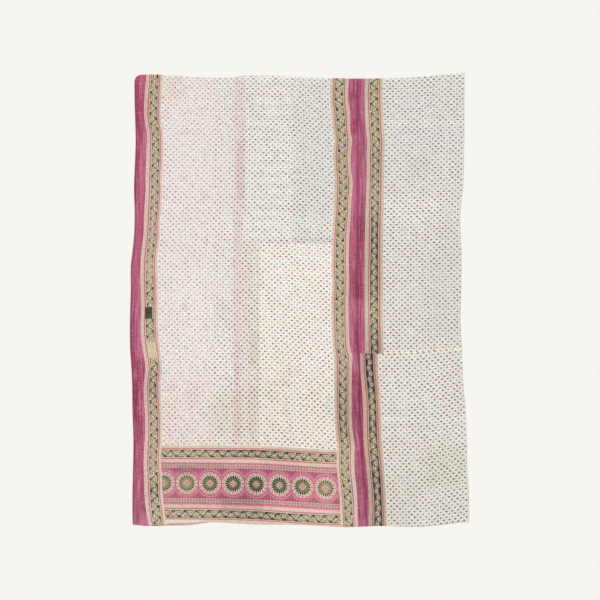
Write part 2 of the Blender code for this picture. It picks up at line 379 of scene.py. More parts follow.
SEAM_STAINS = table(
    Stain,
    (-4, 28, 30, 130, 30, DEEP, 0.6), (-4, 6, 30, 42, 10, FADED, 1), (8, 44, 130, 225, 30, FADED, 0.25),
    (-4, 24, 225, 300, 24, DEEP, 0.6), (15, 50, 340, 780, 80, FADED, 0.45),
    (14, 50, 600, 700, 30, FADED, 0.35), (-4, 16, 880, 1050, 30, DEEP, 0.28),
    (2, 44, 900, 1108, 24, GREYED, 0.5), (2, 24, 960, 1108, 10, DEEP, 0.4),
    (14, 44, 1108, 1300, 12, FADED, 0.5), (-4, 20, 1220, 1480, 60, DEEP, 0.45),
    (24, 48, 1350, 1500, 30, FADED, 0.55), (10, 36, 1376, 1460, 14, FADED, 0.45),
    (-4, 34, 1480, 1792, 40, DEEP, 0.66), (22, 50, 1520, 1832, 40, GREYED, 0.7),
    (-4, 20, 1570, 1780, 30, DEEP, 0.35), (-4, 50, 1600, 1800, 50, DEEP, 0.2),
    (2, 44, 1832, 1846, 5, FADED, 0.6), (-4, 44, 1900, 2100, 40, GREYED, 0.5),
    (-4, 28, 1960, 2090, 30, DEEP, 0.28), (-4, 50, 2120, 2230, 60, GREYED, 0.55),
    (-4, 60, 2185, 2240, 20, FADED, 0.5),
)

Panel = namedtuple("Panel", "name left right top foot seams ridges")


def curve(table, key, value, at):
    """A column of a table, read between its rows by a smooth curve through them."""
    places = np.array([getattr(row, key) for row in table], float)
    values = np.array([getattr(row, value) for row in table], float)
    last = len(places) - 1
    after = np.minimum(np.arange(last + 1) + 1, last)
    before = np.maximum(np.arange(last + 1) - 1, 0)
    slope = (values[after] - values[before]) / (places[after] - places[before])
    at = np.clip(at, places[0], places[-1])
    i = np.clip(np.searchsorted(places, at, side="right") - 1, 0, last - 1)
    span = places[i + 1] - places[i]
    t = (at - places[i]) / span
    rise = (values[i + 1] - values[i]) * t * t * (3 - 2 * t)
    return values[i] + rise + span * (slope[i] * t * (1 - t) ** 2 - slope[i + 1] * t * t * (1 - t))


def down_from_top(y):
    """Millimetres down the quilt from the top of its outline."""
    return (HALF_LENGTH - y) / MM


def side_line(column):
    """A line down the quilt, as the distance across at a given y."""
    return lambda y: curve(SIDES, "down", column, down_from_top(y)) * MM


def cross_line(table):
    """A line across the quilt, as its y at a given x."""
    return lambda x: HALF_LENGTH - curve(table, "across", "down", x / MM) * MM


def mix(a, b, t):
    return a + (b - a) * t


def grid(across, down):
    """The two shares of each point of a grid, a row at a time."""
    return [part.ravel() for part in np.meshgrid(across, down)]


def place(panel, u, v):
    """Where the points lie that are the shares u across the panel and v down it."""
    x, y = np.zeros_like(u), np.zeros_like(u)
    for _ in range(5):
        y = mix(panel.top(x), panel.foot(x), v)
        x = mix(panel.left(y), panel.right(y), u)
    return x, y


def rounded_corner(x, y, left, top):
    """The top left corner's points, drawn in from the square corner to a quarter circle."""
    out = (left + CORNER_RADIUS) - x
    up = y - (top - CORNER_RADIUS)
    corner = (out > 0) & (up > 0)
    share = np.maximum(out, up) / np.maximum(np.hypot(out, up), 1e-9)
    return np.where(corner, x + out * (1 - share), x), np.where(corner, y - up * (1 - share), y)


def near(distance, reach):
    """1 at an edge, falling smoothly to 0 at the given reach from it."""
    t = np.clip(1 - distance / reach, 0, 1)
    return t * t * (3 - 2 * t)


def edge_distances(panel, x, y):
    """How far in from each of a panel's edges the points are."""
    return {
        "left": x - panel.left(y),
        "right": panel.right(y) - x,
        "top": panel.top(x) - y,
        "foot": y - panel.foot(x),
    }


def pucker(panel, u, y, seed):
    """Small puffs along each ridge, each ridge with its own length of puff."""
    chance = np.random.default_rng(seed)
    length = chance.uniform(*PUCKER_LENGTH, panel.ridges + 1)
    start = chance.uniform(0, 2 * math.pi, panel.ridges + 1)
    ridge = np.clip((u * panel.ridges).astype(int), 0, panel.ridges)
    wave = 2 * math.pi * y / length[ridge] + start[ridge]
    return np.sin(wave) + 0.5 * np.sin(1.7 * wave + start[ridge])


def surface_height(panel, u, x, y, seed):
    """The height of a face: ridges between stitch rows with puffs along them, rumples, seams, thin edges."""
    puff = (1 - np.cos(2 * math.pi * u * panel.ridges)) / 2
    uneven = 0.8 + 0.2 * np.sin(y / RIDGE_WAVE + 7 * u)
    height = THICKNESS + RIDGE * uneven * puff + PUCKER * puff * pucker(panel, u, y, seed)
    for rumple in RUMPLES:
        wave = np.sin(2 * math.pi * (x / rumple.across + y / rumple.down) + rumple.start)
        height = height + rumple.height * wave
    for side, distance in edge_distances(panel, x, y).items():
        if side in panel.seams:
            height = height + SEAM_RISE * near(distance, SEAM_REACH)
        else:
            height = height - EDGE_DROP * near(distance, EDGE_REACH)
    return height


def grid_faces(columns, rows):
    """The faces of a grid of points, a row at a time."""
    corner = np.arange((columns - 1) * (rows - 1))
    corner = corner + corner // (columns - 1)
    return np.stack((corner, corner + columns, corner + columns + 1, corner + 1), axis=1).tolist()


def pin_map(piece, name, across, down):
    """A UV map of the piece that holds two measures of its cloth at each point."""
    corners = np.empty(len(piece.data.loops), int)
    piece.data.loops.foreach_get("vertex_index", corners)
    layer = piece.data.uv_layers.new(name=name)
    layer.data.foreach_set("uv", np.stack((across, down), axis=1)[corners].astype(np.float32).ravel())


def pin_colour(piece, name, colours):
    """A colour, and in its fourth part a share, for each point of the piece."""
    layer = piece.data.color_attributes.new(name, "FLOAT_COLOR", "POINT")
    layer.data.foreach_set("color", colours.astype(np.float32).ravel())


def rolled(shares):
    """The shares across a grid with two rows more at each end, and how far round the rim each row is."""
    depth = np.zeros(len(shares) + 4)
    depth[[0, -1]] = 2
    depth[[1, -2]] = 1
    return np.concatenate(([shares[0]] * 2, shares, [shares[-1]] * 2)), depth


def sew_face(panel, columns, rows, seed, material):
    """A panel's face as a fine sheet, rolled down at its rim. Gives the piece and its points' x and y."""
    across, round_across = rolled(np.linspace(0, 1, columns + 1))
    down, round_down = rolled(np.linspace(0, 1, rows + 1))
    u, v = grid(across, down)
    depth = np.maximum(*grid(round_across, round_down))
    x, y = place(panel, u, v)
    height = surface_height(panel, u, x, y, seed)
    if panel.name == "main_face":
        x, y = rounded_corner(x, y, panel.left(y), panel.top(x))
    plan = x.copy(), y.copy()
    long_seam = ((u == 1) & ("right" in panel.seams)) | ((u == 0) & ("left" in panel.seams))
    cross_seam = ((v == 1) & ("foot" in panel.seams)) | ((v == 0) & ("top" in panel.seams))
    roll = np.where(long_seam, 0, np.where(cross_seam, SEAM_LAP, RIM_ROLL)) * (depth == 1)
    x = x + roll * ((u == 1) * 1.0 - (u == 0))
    y = y + roll * ((v == 0) * 1.0 - (v == 1))
    lowest = np.where(long_seam | cross_seam, SEAM_LOW, EDGE_LOW) * height
    turning = mix(lowest, height, np.where(cross_seam, 1.0, FIRST_ROW))
    height = np.where(depth == 2, lowest, np.where(depth == 1, turning, height))
    points = np.stack((x, y, height), axis=1)
    piece = make_piece(panel.name, points, grid_faces(len(across), len(down)), material)
    pin_map(piece, "stitch_rows", u * panel.ridges, plan[1])
    return piece, *plan


def along_lines(at, lines, even):
    """A measure across lines that wander, stretched so that each line falls on its even place."""
    measure = np.where(at < lines[0], even[0] + at - lines[0], 0.0)
    for line, beyond, start, end in zip(lines, lines[1:], even, even[1:]):
        share = (at - line) / (beyond - line)
        measure = np.where((at >= line) & (at < beyond), mix(start, end, share), measure)
    return np.where(at >= lines[-1], even[-1] + at - lines[-1], measure)


def towards_field(border):
    """1 for a border whose field is to the right of it, and -1 for one with its field to the left."""
    return 1 if border[0].field > border[0].magenta else -1


def from_magenta(border, x, y):
    """How far a point is from the edge of a border's magenta, as if the border had no stretch in it."""
    lines = [curve(border, "down", column, down_from_top(y)) for column in Border._fields[1:]]
    towards = towards_field(border)
    return along_lines(x / MM * towards, [line * towards for line in lines], EVEN_BORDER) * MM


def between(at, low, high, soft):
    """1 between two places and 0 outside them, with soft steps."""
    return near(low + soft / 2 - at, soft) * near(at - high + soft / 2, soft)


def soft_box(mark, across, down):
    """1 inside a patch or a shade and 0 outside it, with soft edges."""
    share = between(across, mark.left, mark.right, mark.soft)
    return share * between(down, mark.top, mark.foot, mark.soft)


def tint_of(row):
    """A table row's colour."""
    return tone(row.red, row.green, row.blue)[:3]


def shift_colour(colours, aim, share):
    """Moves the colours of a cloth's points towards another colour, by each point's share."""
    colours[:, :3] = mix(colours[:, :3], np.array(tone(*aim)[:3]), share[:, None])


def ground_colours(patches, x, y):
    """The colour of the field's ground, and the share of ink left, at each point."""
    down = down_from_top(y)
    colours = np.empty((len(x), 4))
    colours[:] = (*tint_of(patches[0]), patches[0].ink)
    for patch in patches[1:]:
        share = soft_box(patch, x / MM, down)[:, None]
        colours = mix(colours, np.array((*tint_of(patch), patch.ink)), share)
    return colours


def worn_edges(colours, panel, x, y):
    """Takes most of the field's ink off a panel's outer edges, where the cloth is folded over."""
    for side, distance in edge_distances(panel, x, y).items():
        if side not in panel.seams:
            colours[:, 3] *= 1 - EDGE_WORN * near(distance, EDGE_WORN_REACH)


def older_cloth(colours, x, y):
    """The spots and the woven stripes of older cloth, as they show through the field's ground."""
    x, y = x / MM, down_from_top(y)
    across, down = x - SPOT_FIRST[0], y - SPOT_FIRST[1]
    column = np.round(across / SPOT_COLUMN)
    along = down / SPOT_STEP - 0.5 * (column % 2)
    from_spot = np.hypot(across - column * SPOT_COLUMN, (along - np.round(along)) * SPOT_STEP)
    shift_colour(colours, SPOT_TONE, near(from_spot, SPOT_REACH) * (x < SPOTS_TO) * SPOT_SHARE)
    woven = np.cos(2 * math.pi * (y - WOVEN_FIRST) / WOVEN_EVERY)
    woven = woven * (x > WOVEN_LEFT) * (x < WOVEN_RIGHT) * (y < WOVEN_DOWN_TO)
    colours[:, :3] *= 1 - woven[:, None] * np.array(WOVEN_DEPTH)


def dyed_colours(dyes, y):
    """The colour of dyed cloth at each point, from a short table down the quilt."""
    down = down_from_top(y)
    parts = [curve(dyes, "down", part, down) for part in ("red", "green", "blue")]
    linear = [(part / 255) ** 2.2 for part in parts]
    return np.stack((*linear, np.ones_like(down)), axis=1)


def stain(colours, stains, from_edge, y):
    """Stains and fades the magenta in soft patches along a panel's edge."""
    down = down_from_top(y)
    for mark in stains:
        share = between(from_edge / MM, mark.start, mark.end, STAIN_SOFT)
        share = share * between(down, mark.top, mark.foot, mark.soft) * mark.share
        shift_colour(colours, mark.shade, share)


def pin_magenta(piece, dyes, stained_edges, y):
    """The dyed colour of a face's plain edges, with the stains along each of them."""
    colours = dyed_colours(dyes, y)
    for stains, from_edge in stained_edges:
        stain(colours, stains, from_edge, y)
    pin_colour(piece, "magenta", colours)


# How far the print's edges blur, in millimetres
PRINT_BLUR = 0.4


class Measure:
    """A number that varies over a material. Sums written with it become nodes of the material's recipe."""

    def __init__(self, recipe, socket):
        self.recipe, self.socket = recipe, socket

    def work_out(self, operation, *others):
        node = self.recipe.add("Math", operation=operation)
        for socket, value in zip(node.inputs, (self, *others)):
            self.recipe.feed(value, socket)
        return Measure(self.recipe, node.outputs[0])

    __add__ = partialmethod(work_out, "ADD")
    __sub__ = partialmethod(work_out, "SUBTRACT")
    __mul__ = partialmethod(work_out, "MULTIPLY")
    __truediv__ = partialmethod(work_out, "DIVIDE")
    __abs__ = partialmethod(work_out, "ABSOLUTE")
    largest = partialmethod(work_out, "MAXIMUM")
    smallest = partialmethod(work_out, "MINIMUM")

    def less_from(self, whole):
        """What is left of the whole."""
        return self.work_out("MULTIPLY_ADD", -1.0, whole)

    def repeat(self, every=1.0):
        """The measure from the middle of each repeat."""
        return self.work_out("WRAP", every / 2, -every / 2)

    def side(self):
        """1 for even repeats and -1 for odd ones."""
        return (self * math.pi).work_out("COSINE").work_out("SIGN")

    def step(self, start, end, low=0.0, high=1.0):
        """A soft step from low to high between the two values."""
        node = self.recipe.add("MapRange", interpolation_type="SMOOTHSTEP")
        self.recipe.feed(self, node.inputs["Value"])
        for name, value in zip(("From Min", "From Max", "To Min", "To Max"), (start, end, low, high)):
            node.inputs[name].default_value = value
        return Measure(self.recipe, node.outputs["Result"])

    def beyond(self, limit):
        """1 past a limit and 0 before it."""
        return self.step(limit - PRINT_BLUR, limit + PRINT_BLUR)

    def before(self, limit):
        """1 before a limit and 0 past it."""
        return self.step(limit - PRINT_BLUR, limit + PRINT_BLUR, 1, 0)


class Cloth(Recipe):
    """A cloth's recipe, with what weaving, dyeing and printing need."""

    def noise(self, vector, scale, detail):
        """Soft random unevenness, as a share and as a colour."""
        node = self.add("TexNoise")
        if vector is not None:
            self.feed(vector, node.inputs["Vector"])
        node.inputs["Scale"].default_value = scale
        node.inputs["Detail"].default_value = detail
        return Measure(self, node.outputs["Fac"]), node.outputs["Color"]

    def mottle(self, vector, scale, detail=2.0):
        """Soft random unevenness, from 0 to 1."""
        return self.noise(vector, scale, detail)[0]

    def ribs(self, scale, direction="DIAGONAL", distortion=0.0):
        """The fine ribs of a weave or a twist."""
        node = self.add("TexWave", bands_direction=direction)
        node.inputs["Scale"].default_value = scale
        node.inputs["Distortion"].default_value = distortion
        return Measure(self, node.outputs["Fac"])

    def read_map(self, name):
        """The two measures that a UV map holds."""
        split = self.add("SeparateXYZ")
        self.feed(self.add("UVMap", uv_map=name).outputs["UV"], split.inputs[0])
        return Measure(self, split.outputs["X"]), Measure(self, split.outputs["Y"])

    def read_colour(self, name):
        """The colour that is pinned to a piece's points, and the share that goes with it."""
        source = self.add("Attribute", attribute_name=name, attribute_type="GEOMETRY")
        return source.outputs["Color"], Measure(self, source.outputs["Alpha"])

    def grey(self, value):
        """A measure as a grey colour."""
        node = self.add("CombineColor")
        for socket in node.inputs[:3]:
            self.feed(value, socket)
        return node.outputs[0]

    def tint(self, colour, share=1.0):
        """Multiplies the colour, or a share of it, by another one."""
        self.colour = self.mixed(self.colour, colour, share, "MULTIPLY")

    def dent(self, height, depth, strength=1.0):
        """Makes the surface look as if it rises and falls with a height, by at most a depth in metres."""
        bump = self.add("Bump")
        bump.inputs["Strength"].default_value = strength
        bump.inputs["Distance"].default_value = depth
        self.feed(height, bump.inputs["Height"])
        self.feed(bump.outputs["Normal"], self.shader["Normal"])


def join(x, y):
    """Two measures as one vector."""
    node = x.recipe.add("CombineXYZ")
    x.recipe.feed(x, node.inputs["X"])
    x.recipe.feed(y, node.inputs["Y"])
    return node.outputs["Vector"]


def length(x, y):
    """How far a point is from the middle, from its two distances."""
    node = x.recipe.add("VectorMath", operation="LENGTH")
    x.recipe.feed(join(x, y), node.inputs[0])
    return Measure(x.recipe, node.outputs["Value"])


def chance_of(x, y):
    """A number from 0 to 1 that is the same over each repeat and different from its neighbours'."""
    node = x.recipe.add("TexWhiteNoise", noise_dimensions="2D")
    x.recipe.feed(join(x.work_out("ROUND"), y.work_out("ROUND")), node.inputs["Vector"])
    return Measure(x.recipe, node.outputs["Value"])


def stitch_shape(rows, metres, shift, size):
    """How far a point is from the middle of the nearest stitch, in halves of its width and length."""
    from_row = abs(rows.repeat() * (ROW_PITCH / MM))
    from_stitch = (metres * (1 / STITCH_PITCH) + shift).repeat() * (STITCH_PITCH / MM)
    return length(from_row / size[0], from_stitch / size[1])


# How far the cloth's tint and lightness vary, from thread to thread
TINT_RANGE = (0.36, 0.36, 0.60)
LIGHTEST, DARKEST = 1.20, 0.80


def uneven_dye(cloth, cloth_place):
    """Makes a cloth vary finely in how light it is and in its tint: its threads are uneven and worn."""
    lightness = cloth.mottle(cloth_place, 0.15, 1.0).step(0.2, 0.8, DARKEST, LIGHTEST)
    cloth.tint(cloth.grey(lightness))
    mild = cloth.add("VectorMath", operation="MULTIPLY_ADD")
    cloth.feed(cloth.noise(cloth_place, 0.17, 1.0)[1], mild.inputs[0])
    mild.inputs[1].default_value = TINT_RANGE
    mild.inputs[2].default_value = [1 - part / 2 for part in TINT_RANGE]
    cloth.tint(mild.outputs["Vector"])


# Marks of the field's print, in millimetres from the middle of a bud or of a sprig of leaves: how far a mark
# stands to each side, half its width and height, how low it sits, and how much its outer side is turned up.
# Its ink is full up to one share of its size and gone at another
BUD_PITCH, BUD_ROW_PITCH = 28, 26
BUD_SWAY = 0.10
Mark = namedtuple("Mark", "ink apart wide tall low lean full gone share")
BUD = table(
    Mark,
    ("pink", 0, 9.5, 6.5, 0, 0, 0.4, 1, 0.2),
    ("pink", 2.2, 3.3, 4.2, 0, 0, 0.7, 1.2, 1),
    ("dark", 0, 2.6, 2.6, -0.5, 0, 0.5, 1.2, 0.85),
)
SPECK_BETWEEN_BUDS = table(Mark, ("stem", 0, 1, 1, 0, 0, 1.2, 3.2, 0.35))
SPECK_UNDER_BUD = table(Mark, ("stem", 0, 7, 5, 0, 0, 0.2, 1, 0.13))
SPRIG = table(
    Mark,
    ("green", 0, 10.5, 6, 0, 0, 0.4, 1, 0.16),
    ("green", 2.4, 3.4, 4, 0, 0.25, 0.7, 1.2, 1),
    ("stem", 0, 1.7, 3.6, 0.6, 0, 0.5, 1.2, 0.7),
)
INK_NAMES = ("pink", "dark", "green", "stem", "pale pink", "pale green")
MAIN_INKS = (190, 108, 119), (156, 62, 85), (146, 153, 90), (102, 117, 66)
FLECK_INKS, FLECK_SHARE = ((252, 219, 230), (219, 246, 231)), 0.6


def print_buds(cloth, cloth_place, ink_left, inks):
    """The field's print: rows of pink buds, with sprigs of two green leaves between them, and fine flecks.
    The thin inks take the tint of the cloth under them."""
    ground = cloth.colour
    inks = [cloth.mixed(ground, tone(*ink), 1.0, "MULTIPLY") for ink in (*inks, *FLECK_INKS)]
    inks = dict(zip(INK_NAMES, inks))
    across, down = cloth.read_map("buds")
    flecks = cloth.mottle(cloth_place, 0.17, 1.0)
    cloth.lay(inks["pale pink"], flecks.step(0.52, 0.68, 0, FLECK_SHARE) * ink_left)
    cloth.lay(inks["pale green"], flecks.step(0.32, 0.48, FLECK_SHARE, 0) * ink_left)
    across = across + (cloth.mottle(None, 14) - 0.5) * BUD_SWAY
    bud_ink = chance_of(across, down).step(0, 1, 0.5, 1.15) * ink_left
    sprig_ink = chance_of(across + 0.5, down + 0.5).step(0, 1, 0.62, 1.0) * ink_left
    at_bud, at_sprig = across.repeat() * BUD_PITCH, (across + 0.5).repeat() * BUD_PITCH
    bud_row, sprig_row = down.repeat() * BUD_ROW_PITCH, (down + 0.5).repeat() * BUD_ROW_PITCH
    for marks, x, y, strength in (
        (BUD, at_bud, bud_row, bud_ink),
        (SPECK_BETWEEN_BUDS, at_sprig, bud_row, bud_ink),
        (SPECK_UNDER_BUD, at_bud, sprig_row, ink_left),
        (SPRIG, at_sprig, sprig_row, sprig_ink),
    ):
        aside = abs(x)
        for mark in marks:
            turned_up = (y + aside * mark.lean - mark.low) / mark.tall
            from_middle = length((aside - mark.apart) / mark.wide, turned_up)
            cloth.lay(inks[mark.ink], from_middle.step(mark.full, mark.gone, mark.share, 0) * strength)


# A border's plain stripes, in millimetres from the edge of the magenta: where each starts, and its colour
Stripe = namedtuple("Stripe", "start red green blue")
STRIPES = table(
    Stripe,
    (0, 224, 205, 190), (3, 212, 162, 158), (4, 224, 205, 190), (8, 212, 168, 162), (9, 222, 202, 185),
    (12.5, 212, 168, 162), (13.4, 222, 203, 186), (16.2, 203, 110, 137), (22, 224, 202, 186),
    (64.2, 220, 200, 182), (67.4, 206, 116, 138), (72, 222, 176, 168), (74, 226, 208, 190),
    (77.4, 218, 184, 170), (78.4, 226, 206, 188), (84, 228, 208, 190),
)
STRIPES_END = 90.0
STRIPE_BLUR = 0.35


def border_stripes(cloth, from_edge):
    """The border's beige and pink lines as one strip of colour."""
    share = cloth.add("MapRange")
    cloth.feed(from_edge, share.inputs["Value"])
    share.inputs["From Max"].default_value = STRIPES_END
    strip = cloth.add("ValToRGB")
    stops = strip.color_ramp.elements
    stops.remove(stops[1])
    stops[0].color = tone(*STRIPES[0][1:])
    for last, stripe in zip(STRIPES, STRIPES[1:]):
        for shift, row in ((-STRIPE_BLUR, last), (STRIPE_BLUR, stripe)):
            stops.new((stripe.start + shift) / STRIPES_END).color = tone(*row[1:])
    cloth.feed(share.outputs[0], strip.inputs["Fac"])
    return strip.outputs["Color"]


# The border's flowers, in millimetres: their band, its middle and the way from rose to rose
FLOWERS_FROM, FLOWERS_TO, FLOWER_MIDDLE, ROSE_PITCH = 25.6, 64.0, 44.5, 26.5
FLOWER_GROUND, FLOWER_LEAF, FLOWER_FADED = tone(98, 120, 82), tone(172, 182, 134), tone(208, 202, 160)
FLOWER_DARK, FLOWER_VINE, DUST = tone(18, 42, 32), tone(208, 218, 116), tone(190, 200, 184)
ROSE_EDGE, ROSE, ROSE_HEART = tone(238, 194, 200), tone(218, 130, 152), tone(164, 52, 90)
# The flowers' petals and leaves: how far out from the middle of the band each is, towards its rose's side,
# half its width and height, how torn its outline is, and how its ink ends
Petal = namedtuple("Petal", "ink out wide tall torn full gone share")
LEAF_ACROSS = table(Petal, (FLOWER_DARK, -14, 6, 9.5, 1, 0.7, 1.1, 0.95))
LEAVES_BEFORE_NEXT = table(
    Petal,
    (FLOWER_VINE, 15, 5, 6.6, 0, 0.6, 1.1, 0.9),
    (DUST, -10.5, 5.4, 6.5, 0, 0.5, 1.1, 0.75),
)
ROSE_BACK = table(Petal, (ROSE_EDGE, 5.4, 9, 9.4, 0.5, 0.75, 1.1, 1))
ROSE_FRONT = table(
    Petal,
    (ROSE, 6.4, 6, 6.4, 0.6, 0.6, 1.1, 1),
    (ROSE_HEART, 7.4, 2.8, 3.2, 0, 0.5, 1.2, 0.9),
)


def print_petals(cloth, petals, out, along, torn, strength):
    for petal in petals:
        from_middle = length((out - petal.out) / petal.wide, along / petal.tall) + torn * petal.torn
        cloth.lay(petal.ink, from_middle.step(petal.full, petal.gone, petal.share, 0) * strength)


def print_flowers(cloth, from_edge, along, ink_left):
    """The border's narrow band: roses on alternate sides, each with a dark leaf across from it, and a yellow
    leaf on its own side before the next, on a ground of small leaves that darkens to both edges."""
    band = from_edge.beyond(FLOWERS_FROM) * from_edge.before(FLOWERS_TO)
    inked = band * ink_left
    cloth.lay(FLOWER_GROUND, inked)
    across = from_edge - FLOWER_MIDDLE
    cloth_place = join(across, along * ROSE_PITCH)
    foliage = cloth.mottle(cloth_place, 0.15, 2.0) + ink_left.less_from(0.9) * 0.12
    cloth.lay(FLOWER_LEAF, foliage.step(0.45, 0.56, 0, 0.95) * inked)
    cloth.lay(FLOWER_FADED, ink_left.step(0.1, 0.6, 0.8, 0) * band)
    inked = band * ink_left.step(0.15, 0.7)
    cloth.lay(FLOWER_DARK, foliage.step(0.35, 0.43, 0.95, 0) * inked)
    cloth.lay(FLOWER_DARK, abs(across).step(12.0, 17.0, 0, 0.56) * inked)
    torn = (foliage - 0.5) * 1.6
    own = across * along.side()
    y = along.repeat() * ROSE_PITCH
    print_petals(cloth, LEAF_ACROSS, own, y, torn, inked)
    after = along - 0.5
    print_petals(cloth, LEAVES_BEFORE_NEXT, across * after.side(), after.repeat() * ROSE_PITCH, torn, inked)
    specks = cloth.mottle(cloth_place, 0.21, 1.0)
    cloth.lay(FLOWER_VINE, specks.step(0.59, 0.66, 0, 0.85) * inked)
    cloth.lay(FLOWER_DARK, specks.step(0.33, 0.40, 0.95, 0) * inked)
    over_inked = (ink_left - 1.0).largest(0.0)
    cloth.lay(FLOWER_DARK, over_inked * abs(across).step(6.0, 13.0, 0.3, 3.2) * inked)
    inked = band * ink_left.step(0.0, 0.4, 0.3, 1)
    print_petals(cloth, ROSE_BACK, own, y, torn, inked)
    turned = chance_of(along, along * 0.0) * 4.0 - 2.0
    print_petals(cloth, ROSE_FRONT, own, y - turned, torn, inked)
    cloth.lay(FLOWER_DARK, over_inked * inked * 0.7)


# The foot band's inks, and the sizes of its wheels in millimetres, with the ink that leaves no lime showing
WHEEL_GROUND, WHEEL_SHADE, WHEEL_LINE = tone(190, 103, 129), tone(170, 87, 113), tone(212, 142, 160)
WHEEL_CREAM, WHEEL_DOT, WHEEL_EYE = tone(228, 192, 182), tone(118, 146, 104), tone(178, 92, 112)
WHEEL_GREEN, WHEEL_LIME, WHEEL_TIP = tone(74, 86, 64), tone(162, 164, 114), tone(24, 46, 34)
ROW_GROUND, ROW_CREAM, ROW_GREEN = tone(204, 126, 147), tone(230, 202, 186), tone(144, 165, 117)
WHEEL_MIDDLE, WHEEL_RIM, WHEELS_UNWORN = 165.5, 54, 1.22
WHEEL_TIPS, RING_DOTS, RING_RADIUS = 20, 16, 47.5
# The rows of small flowers: how far they are from the wheels' middle, how many to a wheel, and where the
# upper and the lower row start
ROW_FROM_MIDDLE, ROW_FLOWERS, ROW_STARTS = 83.0, 4, ((-1.0, 0.30), (1.0, 0.73))
# Thin lines at a distance from the wheels' middles, or from the middle of the band
Line = namedtuple("Line", "ink at full gone share")
WHEEL_LINES = table(Line, (WHEEL_LINE, 64, 1.5, 4.5, 0.85), (WHEEL_LINE, 73.5, 0.5, 2.5, 0.35))
ROW_LINES = table(Line, (WHEEL_GROUND, 94, 2.5, 5, 0.8), (WHEEL_LINE, 102, 2, 4, 0.5))


def print_wheels(cloth, share, ink_left, ground):
    """The foot band's print: wheels with serrated green rims in dotted rings, pink rings round those that
    meet between them, and a row of small flowers each side. Where it's worn, the wheels' lime shows."""

    def lay(ink, amount):
        cloth.lay(ink, amount * share)

    turn, down = cloth.read_map("wheels")
    cloth.lay(WHEEL_GROUND, share)
    x, y = turn.repeat() * WHEEL_PITCH, down - WHEEL_MIDDLE
    radius = length(x, y)
    lay(WHEEL_SHADE, radius.step(69.5, 72.0))
    for line in WHEEL_LINES:
        lay(line.ink, abs(radius - line.at).step(line.full, line.gone, line.share, 0))
    lay(ROW_GROUND, abs(y).step(73.5, 76.5))
    for line in ROW_LINES:
        lay(line.ink, abs(abs(y) - line.at).step(line.full, line.gone, line.share, 0))
    for side, start in ROW_STARTS:
        flower_x = (turn * ROW_FLOWERS - start).repeat() * (WHEEL_PITCH / ROW_FLOWERS)
        flower_y = y - ROW_FROM_MIDDLE * side
        flower = length(flower_x, flower_y)
        lay(ROW_CREAM, length(abs(flower_x) - 6.0, abs(flower_y) - 6.0).step(2.0, 6.4, 0.75, 0))
        lay(ROW_GREEN, flower.step(6.0, 9.6, 1, 0))
        lay(WHEEL_TIP, flower.step(1.0, 4.0, 0.35, 0))
    angle = y.work_out("ARCTAN2", x) * (1 / (2 * math.pi))
    lay(WHEEL_CREAM, radius.step(WHEEL_RIM - 1.5, WHEEL_RIM + 1, 1, 0))
    dots, ring_step = angle * RING_DOTS, RING_RADIUS * 2 * math.pi / RING_DOTS
    lay(WHEEL_DOT, length(dots.repeat() * ring_step, radius - RING_RADIUS).step(2.8, 5.6, 0.95, 0))
    between_dots = length((dots + 0.5).repeat() * ring_step, radius - RING_RADIUS)
    lay(WHEEL_LINE, between_dots.step(1.5, 4.5, 0.6, 0))
    tip = (angle * WHEEL_TIPS).repeat()
    teeth = (radius + abs(tip) * 23.0).step(40.5, 43.0, 1, 0)
    lay(WHEEL_GREEN, teeth)
    lay(WHEEL_LIME, ink_left.less_from(WHEELS_UNWORN) * teeth * 2.0)
    lay(WHEEL_LIME, radius.step(15.0, 22.0, 0.22, 0))
    lay(WHEEL_TIP, length(tip * 10.5, (radius - 33.5) * 0.45).step(2.4, 4.0, 1, 0))
    square = abs(x) + abs(y)
    lay(WHEEL_CREAM, square.step(15.5, 18.5, 1, 0))
    lay(WHEEL_EYE, abs(abs(x) - abs(y)).step(1.0, 3.4, 0.2, 1) * square.step(11.0, 14.0, 1, 0))
    lay(WHEEL_CREAM, square.step(2.0, 4.5, 0.8, 0))
    lay(WHEEL_CREAM, ink_left.less_from(1.0) * 0.8)
    cloth.tint(ground, share)


MAGENTA_LIGHT, MAGENTA_DARK = tone(206, 130, 156), tone(122, 36, 70)


def dye_magenta(cloth, share, rows, metres, last_row):
    """The plain magenta edge: streaked along the stitch rows, faded on the ridges, dark by its edges."""
    streaks = cloth.mottle(join(rows * 1.3, metres * 7.0), 1.0, 3.0)
    creases = cloth.mottle(join(rows * 0.4, metres * 90.0), 1.0, 2.0)
    edge = rows.smallest(rows.less_from(last_row)) if last_row else rows
    magenta = cloth.read_colour("magenta")[0]
    for ink, amount in (
        (MAGENTA_LIGHT, streaks.step(0.48, 0.80)),
        (MAGENTA_DARK, streaks.step(0.22, 0.5, 0.85, 0)),
        (MAGENTA_LIGHT, creases.step(0.52, 0.75, 0, 0.45)),
        (MAGENTA_DARK, edge.step(0.1, 0.9, 0.35, 0)),
    ):
        magenta = cloth.mixed(magenta, ink, amount)
    cloth.lay(magenta, share)


# How wide a border is with its stripes, in millimetres, and the foot band's borders. The lower one's measure
# stops short of that, as it runs on to the foot. The magenta's edge is softer than the print's
BORDER_WIDTH, FOOT_BORDER_WIDTH, LOWER_BORDER_WIDTH, MAGENTA_BLUR = 84, 86, 85, 0.6
# A stitch as a dimple in the cloth: half its width and length, in millimetres
DIMPLE = (1.6, 3.4)


